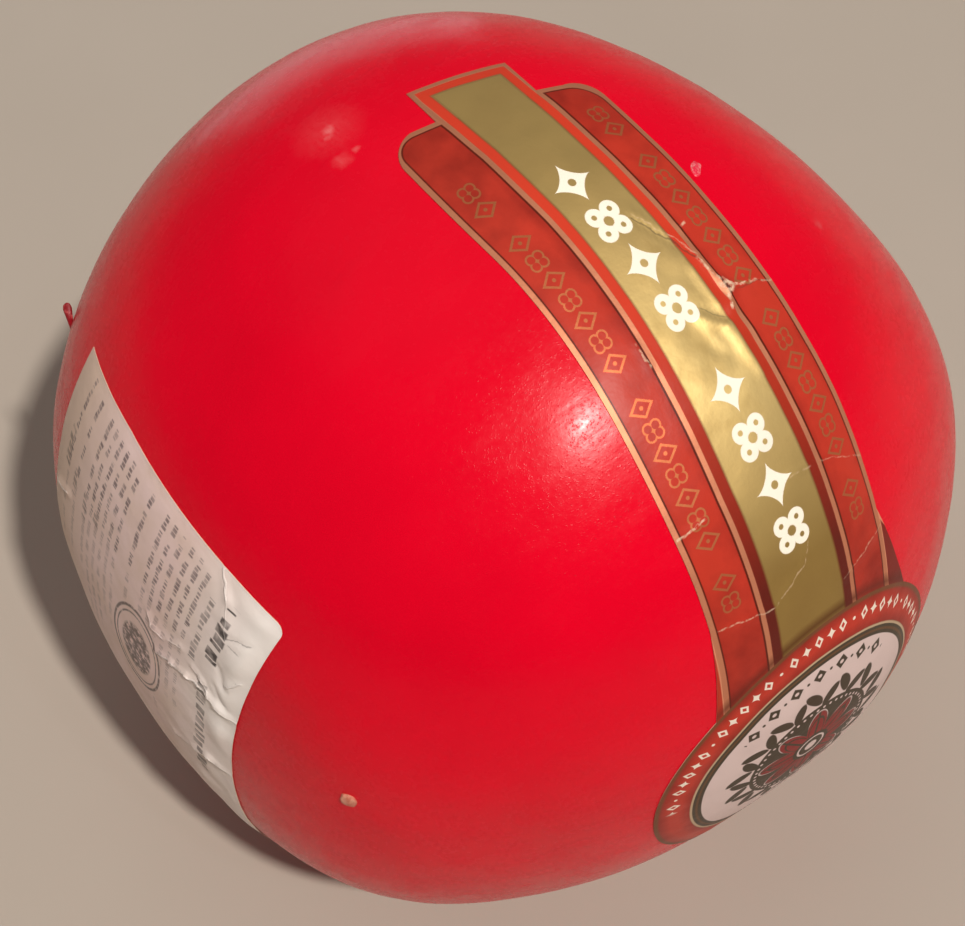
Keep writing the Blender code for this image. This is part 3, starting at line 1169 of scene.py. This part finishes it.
to_sheet = Vector((
    -math.cos(SHEET_LIFT) * math.cos(SHEET_SIDE),
    math.cos(SHEET_LIFT) * math.sin(SHEET_SIDE),
    math.sin(SHEET_LIFT),
))
upright = (Vector((0, 0, 1)) - to_sheet * to_sheet.z).normalized()
level = upright.cross(to_sheet)
sheet_up = math.cos(SHEET_ROLL) * upright + math.sin(SHEET_ROLL) * level
sheet_forward = math.cos(SHEET_ROLL) * level - math.sin(SHEET_ROLL) * upright


def on_sheet(x, y):
    """The way from the middle to a point of the sheet: x towards the front, y up."""
    return way_over(to_sheet, sheet_up, sheet_forward, y, x)


# %% The sheet's creases: start, end, width, lift and wear, in millimetres; a wear above 0 gives a painted highlight on the ridge, below 0 a painted shade line in the fold
SHEET_CREASES = (
    ((6.4, 18.2), (8.0, 16.0), 0.6, 0.26, 0.4),
    ((8.0, 16.0), (10.5, 16.2), 0.6, 0.26, 0.5),
    ((11.6, 17.2), (14.5, 19.1), 0.7, 0.26, 0.3),
    ((9.2, 10.2), (13.3, 12.6), 0.6, 0.3, 0.6),
    ((13.3, 12.6), (16.9, 13.6), 0.6, 0.36, 0.8),
    ((16.9, 13.6), (19.8, 14.6), 0.6, 0.36, 0.8),
    ((19.8, 14.6), (23.2, 14.5), 0.8, 0.36, 0.4),
    ((17.6, 17.3), (20.1, 16.8), 0.6, 0.3, 0.4),
    ((20.1, 16.8), (22.0, 14.6), 0.6, 0.36, 0.5),
    ((22.5, 18.6), (25.2, 15.2), 0.7, -0.3, 0.0),
    ((24.0, 13.8), (28.7, 13.3), 1.0, 0.6, 1.0),
    ((19.0, -9.3), (22.9, -7.0), 0.8, 0.34, 0.5),
    ((22.9, -7.0), (27.5, -7.0), 0.9, 0.4, 0.8),
    ((13.4, -12.6), (17.6, -10.4), 0.7, 0.26, 0.4),
    ((15.7, 41.7), (18.8, 37.7), 0.6, 0.36, 0.6),
    ((18.8, 37.7), (21.5, 31.0), 1.2, 0.26, 0.2),
    ((21.0, 31.2), (23.8, 33.3), 0.35, -0.2, -0.25),
    ((23.8, 33.3), (25.4, 34.3), 0.35, -0.2, -0.25),
    ((22.2, 30.8), (24.4, 31.0), 0.3, -0.16, -0.15),
    ((-26.3, 10.5), (-20.1, 14.9), 0.8, 0.36, 0.8),
    ((24.6, 21.5), (26.6, 25.0), 0.7, 0.3, 0.5),
    ((22.0, 24.0), (24.0, 20.5), 0.7, -0.3, 0.0),
)
SHEET_BULGES = (  # how high each is, then its middle and how far it spreads both ways
    (0.6, (24.5, 29.0, 4.0, 8.5)),
    (0.4, (25.5, 7.0, 3.0, 5.0)),
    (0.5, (26.0, 18.0, 4.0, 4.0)),
)


def sheet_relief(x, y):
    """Sharp creases, bulges near the front corner, and soft buckles towards the front edge."""
    bulge = sum(lift * mound(x, y, spot) for lift, spot in SHEET_BULGES)
    buckles = 0.34 * ease(x, 2, 24) * ripple(x, y, 5.5, 3.0) + 0.12 * ripple(x, y, 13.0, 6.0)
    return max(0.18 + crease_relief(x, y, SHEET_CREASES) + bulge + buckles, 0)


sheet = cut_paper("ingredients_paper", sheet_outline())
slice_paper(sheet)
map_paper(sheet)
lay_paper(sheet, on_sheet, sheet_relief)
tell(sheet)

# %% [markdown]
# The print says nothing. A row is a run of small blurred blocks, each with its own width
# and height, so that it has the grey and the pace of type without a letter in it, and
# noise wears the ink. The words and the length of each row are cut out of that.

# %% The sheet's print
SHEET_WHITE = tint(244, 215, 210)
SHEET_WARM = tint(222, 194, 172)
# A painted highlight colour, for the front of the sheet and its crease ridges.
SHEET_HIGHLIGHT = tint(255, 246, 240)
PRINT_GREY = tint(104, 88, 92)
PRINT_DARK = tint(44, 34, 38)
ROW_PITCH = 2.0
ROW_SHIFT = 0.7  # puts the middle row 0.3 mm from the sheet's own middle line
BLANK_ROWS = (-10, -8, -1, 1)
ROW_START = 39.5  # the height at which every row starts
FIRST_BLOCK = 21.5  # the height down to which all rows are at their darkest
WORD_PITCH, BOLD_WORD_PITCH = 4.6, 9.0
TYPE_HEIGHT, TYPE_PACE = 1.3, 0.85
OVAL_MIDDLE = (4.0, 3.3)
OVAL_REACH = (6.4, 11.0)
CORE_REACH = (4.0, 6.6)
BOLD_ROWS = (  # the row's place, where it starts and ends, its height, pace and ink
    (16.8, 36.4, 19.0, 2.0, 1.3, 0.6),
    (20.5, 37.8, 23.2, 3.3, 2.2, 0.95),
    (20.5, 17.0, -19.0, 3.3, 2.1, 0.7),
    (-10.0, 23.0, 20.0, 2.2, 1.5, 0.5),
    (-14.0, 22.8, 16.2, 2.2, 1.5, 0.5),
    (-18.4, 23.0, 17.0, 2.2, 1.5, 0.5),
    (-22.6, 28.6, 20.0, 2.7, 1.9, 0.6),
)


def blocks(recipe, x, y, row, height, pace):
    """Small worn blocks with the height and pace of a line of type, other ones in every row."""
    number, in_block = repeat(y, pace)
    luck = recipe.random(row, number, 5.0)
    wide = (abs(in_block) - luck * pace * 0.2).under(pace * 0.27, 0.2)
    high = abs(x + (recipe.random(row, number, 9.0) - 0.5) * height * 0.2)
    high = (high - luck * height * 0.16).under(height * 0.23, 0.24)
    worn = recipe.grain(recipe.vector(x, y, row), 2.4, 2)
    return wide * high * (worn.over(0.42, 0.3) * 0.65 + 0.35)


def rows_of_print(recipe, x, y):
    """Rows of small type: a first block of words, then fainter ones further down."""
    row, in_row = repeat(x + ROW_SHIFT, ROW_PITCH)
    luck = recipe.random(row, 7.0)
    inside = abs(in_row).under(0.62, 0.2) * row.between(-11.5, 7.5, 0.1)
    for blank in BLANK_ROWS:
        inside = inside * abs(row - blank).over(0.5, 0.1)
    word, in_word = repeat(y + luck * 40, WORD_PITCH)
    spread = recipe.random(row, word, 3.0) * 1.1 + 1.1
    words = (abs(in_word) - spread).under(0, 0.2)
    block = y.over(FIRST_BLOCK, 0.3) * 0.5 + (y + luck * 16).over(4.0, 8.0) * 0.5
    print_ends = block * y.under(ROW_START, 0.2)
    return inside * words * blocks(recipe, in_row, y, row, TYPE_HEIGHT, TYPE_PACE) * print_ends


def bold_row(recipe, x, y, place, start, end, height, pace):
    """One row of larger, darker type."""
    _, in_word = repeat(y, BOLD_WORD_PITCH)
    inside = abs(x - place).under(height / 2, 0.2) * y.between(end, start, 0.3)
    words = abs(in_word).under(3.9, 0.2)
    return inside * words * blocks(recipe, x - place, y, place, height, pace)


def oval_mark(recipe, x, y):
    """A plain oval stamp: two thin rings round a blotched middle, and how much it clears."""
    off_x, off_y = x - OVAL_MIDDLE[0], y - OVAL_MIDDLE[1]
    ring = length(off_x / OVAL_REACH[0], off_y / OVAL_REACH[1])
    rings = larger(abs(ring - 1).under(0.035, 0.03), abs(ring - 0.86).under(0.02, 0.03))
    core = length(off_x / CORE_REACH[0], off_y / CORE_REACH[1]).under(1, 0.12)
    worn = recipe.grain(recipe.vector(x, y), 1.1, 3)
    stamp = larger(rings * worn.over(0.36, 0.2), core * worn.over(0.44, 0.2))
    return stamp, ring.over(1.1, 0.1)


# Zones of the sheet: the middle of each, and its width.
FRONT, UPPER, BACK = (17.0, 16.0), (0.0, 18.0), (-15.0, 16.0)


def sheet_print():
    recipe = Recipe("White label print", Specular_IOR_Level=0.25)
    x, y, places = flat_places(recipe)
    mottle = recipe.grain(places, 9.0, 4)
    front = x.over(*FRONT)
    corner = front * y.over(*UPPER)
    warm = larger(mottle.over(0.52, 0.3) * 0.5, x.under(*BACK) * 0.8)
    stamp, clear = oval_mark(recipe, x, y)
    # Lines along the crease ridges, bumped, and painted pale as a highlight.
    ridge_highlight = crease_lines(recipe, x, y, SHEET_CREASES, 1)
    colour = recipe.layers(
        SHEET_WHITE,
        (SHEET_WARM, warm),
        # Paler paper towards the front and its upper corner, painted brighter still as a painted
        # highlight where the bulges there catch the light.
        (SHEET_HIGHLIGHT, larger(corner, front * 0.7)),
        (PRINT_GREY, rows_of_print(recipe, x, y) * clear * 0.8),
        *((PRINT_DARK, bold_row(recipe, x, y, *row) * ink) for *row, ink in BOLD_ROWS),
        (PRINT_DARK, stamp * 0.75),
        # Painted shade: a dark line in the cleft of each sharp fold.
        (PRINT_DARK, crease_lines(recipe, x, y, SHEET_CREASES, -1)),
        # Painted highlight: a pale line along each crease's ridge.
        (SHEET_HIGHLIGHT, ridge_highlight * 0.7),
    )
    fibres = recipe.bump(recipe.grain(places, 0.6, 4), 0.015 * MM)
    normal = recipe.bump(recipe.grain(places, 3.5, 2), 0.25 * MM, 0.5, fibres)
    normal = recipe.bump(ridge_highlight, 0.16 * MM, normal=normal)
    rough = 0.52 + (mottle - 0.5) * 0.2 - corner * 0.16
    return recipe.finish(Base_Color=colour, Roughness=rough, Normal=normal)


sheet.data.materials.append(sheet_print())
sheet.data.materials.append(paper_back)
thicken_paper(sheet)
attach(sheet, "root")
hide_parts("ingredients_label")
tell(sheet)

# %% [markdown]
# ## Floor, light and camera
# A pale, plain floor in a dim room. The shadow and the gleam on the wax don't ask for
# quite the same place of the lamp, so two lamps share the work: one lights everything but
# isn't mirrored, and the other is only mirrored. A wide dim one overhead opens the shadow.
# The pale veil round the wax's edge is the lit floor, mirrored at a low angle. It's
# brightest along the far edge, where the wax mirrors a low panel that stands behind it.

# %% Floor
FLOOR_SIZE = 4.0


def floor_paint():
    recipe = Recipe("Pale floor", Roughness=0.7, Specular_IOR_Level=0.3)
    patches = recipe.grain(recipe.object_places(), 60 * MM, 4)
    colour = recipe.paint(tint(182, 171, 159), tint(175, 164, 152), patches)
    return recipe.finish(Base_Color=colour)


bpy.ops.object.select_all(action="DESELECT")
bpy.ops.mesh.primitive_plane_add(size=FLOOR_SIZE, location=(0, 0, 0))
floor = bpy.context.object
floor.name = "floor"
floor.data.materials.append(floor_paint())

# %% Light
ROOM_LIGHT = 0.11
LAMP_DISTANCE = 3.0
KEY_SIDE, KEY_HEIGHT = math.radians(-10.0), math.radians(61.0)
KEY_POWER, KEY_SIZE = 82.0, 0.14
GLEAM_SIDE, GLEAM_HEIGHT = 0.0, math.radians(58.0)
GLEAM_POWER, GLEAM_SIZE = 78.0, 0.1
FILL_POWER, FILL_SIZE, FILL_DISTANCE = 14.0, 3.0, 2.5
FILL_WAY = Vector((0.05, 0.45, 0.9)).normalized()
PANEL_WAY = Vector((0.42, 0.9, 0)).normalized()
PANEL_DISTANCE, PANEL_WIDTH, PANEL_HEIGHT, PANEL_POWER = 0.3, 0.2, 0.135, 0.05
WARM = (1.0, 0.95, 0.89)
COOL = (0.86, 0.92, 1.0)
ROOM_TINT = (1.0, 0.97, 0.94, 1)


def aim(thing, target):
    """Turns a lamp or a camera to face a point."""
    thing.rotation_euler = (target - thing.location).to_track_quat("-Z", "Y").to_euler()


def way_to(side, height):
    """The way to a place this far round from the front, and this high."""
    return Vector((
        math.cos(height) * math.sin(side),
        -math.cos(height) * math.cos(side),
        math.sin(height),
    ))


def add_lamp(name, way, distance, power, size):
    """A soft round lamp that shines on the ball from one side."""
    lamp = bpy.data.lights.new(name, "AREA")
    lamp.shape = "DISK"
    lamp.size = size
    lamp.energy = power
    lamp.color = WARM
    stand = bpy.data.objects.new(name, lamp)
    bpy.context.scene.collection.objects.link(stand)
    stand.location = middle + way * distance
    aim(stand, middle)
    return stand


key = add_lamp("key_lamp", way_to(KEY_SIDE, KEY_HEIGHT), LAMP_DISTANCE, KEY_POWER, KEY_SIZE)
key.visible_glossy = False
gleam_way = way_to(GLEAM_SIDE, GLEAM_HEIGHT)
gleam = add_lamp("gleam_lamp", gleam_way, LAMP_DISTANCE, GLEAM_POWER, GLEAM_SIZE)
gleam.visible_diffuse = False
fill = add_lamp("fill_lamp", FILL_WAY, FILL_DISTANCE, FILL_POWER, FILL_SIZE)
fill.visible_glossy = False
panel = add_lamp("back_panel", PANEL_WAY, PANEL_DISTANCE, PANEL_POWER, PANEL_WIDTH)
panel.data.shape = "RECTANGLE"
panel.data.size_y = PANEL_HEIGHT
panel.data.color = COOL
panel.location.z = PANEL_HEIGHT / 2
panel.rotation_euler = (-PANEL_WAY).to_track_quat("-Z", "Y").to_euler()
panel.visible_diffuse = False
panel.visible_camera = False
room = bpy.data.worlds.new("Room")
room.use_nodes = True
backdrop = room.node_tree.nodes["Background"].inputs
backdrop["Color"].default_value = ROOM_TINT
backdrop["Strength"].default_value = ROOM_LIGHT
bpy.context.scene.world = room

# %% Camera
CAMERA_HEIGHT = math.radians(58.0)
CAMERA_SIDE = math.radians(-44.5)
CAMERA_DISTANCE = 4.5 * BALL_RADIUS
LENS = 75.0
AIM_SIDE, AIM_UP = -3.06 * MM, 0.5 * MM

to_camera = way_to(CAMERA_SIDE, CAMERA_HEIGHT)
screen_right = Vector((0, 0, 1)).cross(to_camera).normalized()
screen_up = to_camera.cross(screen_right)
camera = bpy.data.objects.new("camera", bpy.data.cameras.new("camera"))
bpy.context.scene.collection.objects.link(camera)
camera.data.lens = LENS
camera.data.clip_start = 0.01
camera.location = middle + to_camera * CAMERA_DISTANCE
aim(camera, middle + screen_right * AIM_SIDE + screen_up * AIM_UP)
bpy.context.scene.camera = camera
bpy.context.scene.view_settings.view_transform = "Standard"
print("Camera at", [round(part, 3) for part in camera.location])
